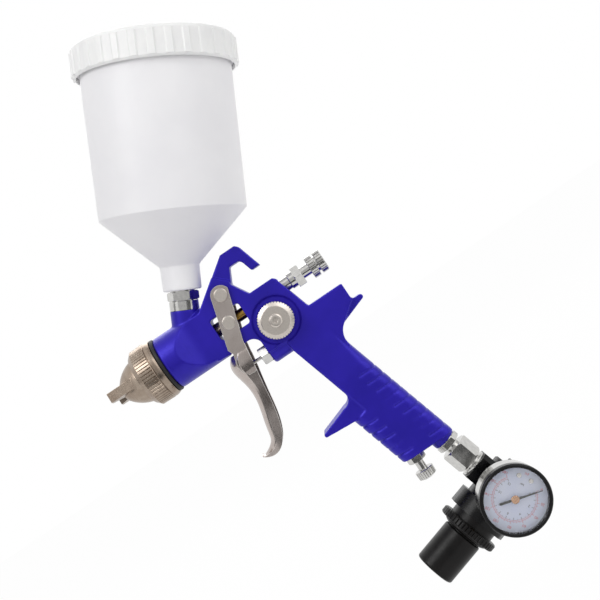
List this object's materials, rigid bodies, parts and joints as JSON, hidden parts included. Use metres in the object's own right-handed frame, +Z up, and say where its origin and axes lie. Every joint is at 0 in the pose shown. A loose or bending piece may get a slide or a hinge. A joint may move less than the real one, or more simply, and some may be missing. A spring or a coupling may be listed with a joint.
{
  "type": "hvlp spray gun",
  "caption": "Gravity-feed air spray gun with a leaning paint cup and screw lid, hanging hook, two-finger trigger, ribbed grip and an air regulator with a round gauge.",
  "frame": {"origin": "tip of the fluid nozzle, on the barrel axis, in the gun's middle plane", "axes": "-X along the barrel in the spray direction; +Z up with the barrel level; +Y away from the gauge"},
  "size_m": [0.1923, 0.1038, 0.4039],
  "materials": {
    "anodised_blue": "gloss",
    "chrome": "polished",
    "nickel": "polished",
    "steel": "satin",
    "spring_steel": "satin",
    "brass": "satin",
    "clear_white_plastic": "satin",
    "white_plastic": "satin",
    "black_rubber": "matte",
    "black_plastic": "satin",
    "black_paint": "satin",
    "clear_lens": "clear",
    "dial_white": "matte",
    "pointer_black": "matte",
    "seal_plastic": "matte"
  },
  "bodies": {
    "gun": {"gun_body": "anodised_blue", "fluid_nozzle": "steel", "air_baffle": "brass", "body_seal_ring": "black_rubber", "packing_seal": "seal_plastic", "packing_gland": "nickel", "spring_housing": "chrome", "needle_spring": "spring_steel", "cup_adapter": "chrome", "cup": "clear_white_plastic", "cup_strainer": "white_plastic", "trigger_pivot_pin": "chrome", "trigger_pivot_screw": "chrome", "air_valve_gland": "chrome", "air_valve_seat": "brass", "air_valve_spring": "spring_steel", "pattern_gland": "chrome", "air_screw_gland": "chrome", "inlet_nipple": "chrome"},
    "air_cap": {"air_cap": "nickel"},
    "cap_ring": {"cap_ring": "nickel"},
    "trigger": {"trigger": "chrome", "trigger_cross_pin": "chrome"},
    "needle": {"needle": "steel", "needle_collar": "brass"},
    "air_valve": {"air_valve_stem": "steel"},
    "spring_seat": {"needle_spring_seat": "brass"},
    "fluid_knob": {"fluid_knob": "chrome"},
    "fluid_lock_ring": {"fluid_lock_ring": "chrome"},
    "pattern_seal": {"pattern_oring": "black_rubber"},
    "pattern_knob": {"pattern_knob": "chrome", "pattern_stem": "steel", "pattern_knob_screw": "chrome"},
    "air_screw_seal": {"air_screw_oring": "black_rubber"},
    "air_screw": {"air_screw": "chrome"},
    "lid_seal": {"lid_seal": "seal_plastic"},
    "lid": {"lid": "white_plastic", "lid_vent": "white_plastic"},
    "swivel_nut": {"swivel_nut": "chrome"},
    "regulator": {"regulator_body": "black_paint", "regulator_stub": "chrome", "bonnet": "black_plastic", "range_spring": "spring_steel", "diaphragm": "black_rubber", "diaphragm_plate": "brass", "regulator_poppet": "brass", "poppet_spring": "spring_steel", "valve_plug": "black_plastic", "gauge_stem": "brass", "gauge_case": "chrome", "gauge_bezel": "black_paint", "gauge_lens": "clear_lens", "gauge_dial": "dial_white", "dial_screws": "steel"},
    "panel_nut": {"panel_nut": "black_plastic"},
    "regulator_knob": {"regulator_knob": "black_plastic", "adjusting_screw": "steel"},
    "range_seat": {"range_spring_seat": "brass"},
    "gauge_pointer": {"gauge_pointer": "pointer_black"}
  },
  "joints": [
    {"name": "trigger_pull", "type": "hinge", "parent": "gun", "child": "trigger", "pos_m": [0.0861, 0, 0.0166], "axis": [0, -1, 0], "range_deg": [0, 12], "stiffness_Nm_per_rad": 2, "springref_deg": -11.46},
    {"name": "needle_slide", "type": "slide", "parent": "gun", "child": "needle", "axis": [1, 0, 0], "range_m": [0, 0.0036], "deforming": ["needle_spring"]},
    {"name": "air_valve_slide", "type": "slide", "parent": "gun", "child": "air_valve", "axis": [1, 0, 0], "range_m": [0, 0.0095], "deforming": ["air_valve_spring"]},
    {"name": "air_cap_turn", "type": "hinge", "parent": "gun", "child": "air_cap", "pos_m": [0.01, 0, 0], "axis": [1, 0, 0], "continuous": true},
    {"name": "cap_ring_turn", "type": "hinge", "parent": "gun", "child": "cap_ring", "pos_m": [0.022, 0, 0], "axis": [1, 0, 0], "continuous": true},
    {"name": "fluid_knob_travel", "type": "slide", "parent": "gun", "child": "spring_seat", "axis": [-1, 0, 0], "range_m": [-0.002, 0.002], "deforming": ["needle_spring"]},
    {"name": "fluid_knob_turn", "type": "hinge", "parent": "spring_seat", "child": "fluid_knob", "pos_m": [0.1487, 0, 0], "axis": [-1, 0, 0], "range_deg": [-720, 720]},
    {"name": "fluid_lock_ring_turn", "type": "hinge", "parent": "fluid_knob", "child": "fluid_lock_ring", "pos_m": [0.1427, 0, 0], "axis": [-1, 0, 0], "continuous": true},
    {"name": "pattern_knob_travel", "type": "slide", "parent": "gun", "child": "pattern_seal", "axis": [0, 1, 0], "range_m": [-0.001, 0.0015]},
    {"name": "pattern_knob_turn", "type": "hinge", "parent": "pattern_seal", "child": "pattern_knob", "pos_m": [0.1059, -0.017, -0.0151], "axis": [0, 1, 0], "range_deg": [-360, 540]},
    {"name": "air_screw_travel", "type": "slide", "parent": "gun", "child": "air_screw_seal", "axis": [0, 0, 1], "range_m": [-0.0015, 0.001]},
    {"name": "air_screw_turn", "type": "hinge", "parent": "air_screw_seal", "child": "air_screw", "pos_m": [0.1296, 0, -0.146], "axis": [0, 0, 1], "range_deg": [-540, 360]},
    {"name": "lid_rise", "type": "slide", "parent": "gun", "child": "lid_seal", "axis": [0.4571, 0, 0.8894], "range_m": [0, 0.0075]},
    {"name": "lid_turn", "type": "hinge", "parent": "lid_seal", "child": "lid", "pos_m": [0.13788, 0, 0.17041], "axis": [0.4571, 0, 0.8894], "range_deg": [0, 540]},
    {"name": "swivel_nut_turn", "type": "hinge", "parent": "gun", "child": "swivel_nut", "pos_m": [0.15257, 0, -0.14196], "axis": [-0.279, 0, 0.9603], "continuous": true},
    {"name": "regulator_swivel", "type": "hinge", "parent": "gun", "child": "regulator", "pos_m": [0.15648, 0, -0.15541], "axis": [-0.279, 0, 0.9603], "continuous": true},
    {"name": "panel_nut_turn", "type": "hinge", "parent": "regulator", "child": "panel_nut", "pos_m": [0.13435, -0.00053, -0.18891], "axis": [0.9601, 0.0175, 0.2789], "continuous": true},
    {"name": "regulator_knob_turn", "type": "hinge", "parent": "regulator", "child": "regulator_knob", "pos_m": [0.12706, -0.00067, -0.19103], "axis": [0.9601, 0.0175, 0.2789], "range_deg": [-720, 1440]},
    {"name": "range_seat_travel", "type": "slide", "parent": "regulator", "child": "range_seat", "axis": [0.9601, 0.0175, 0.2789], "range_m": [-0.002, 0.004], "deforming": ["range_spring"]},
    {"name": "gauge_pointer_turn", "type": "hinge", "parent": "regulator", "child": "gauge_pointer", "pos_m": [0.16438, -0.03859, -0.18019], "axis": [-0.0168, 0.9998, -0.0049], "range_deg": [0, 270], "stiffness_Nm_per_rad": 0.0001}
  ],
  "couplings": [
    {"joint": "needle_slide", "follows": "trigger_pull", "m_per_rad": 0.01705},
    {"joint": "air_valve_slide", "follows": "trigger_pull", "m_per_rad": 0.0449},
    {"joint": "fluid_knob_travel", "follows": "fluid_knob_turn", "m_per_rad": 0.00015915},
    {"joint": "pattern_knob_travel", "follows": "pattern_knob_turn", "m_per_rad": 0.00015915},
    {"joint": "air_screw_travel", "follows": "air_screw_turn", "m_per_rad": 0.00015915},
    {"joint": "lid_rise", "follows": "lid_turn", "m_per_rad": 0.00079577},
    {"joint": "range_seat_travel", "follows": "regulator_knob_turn", "m_per_rad": 0.00015915}
  ]
}
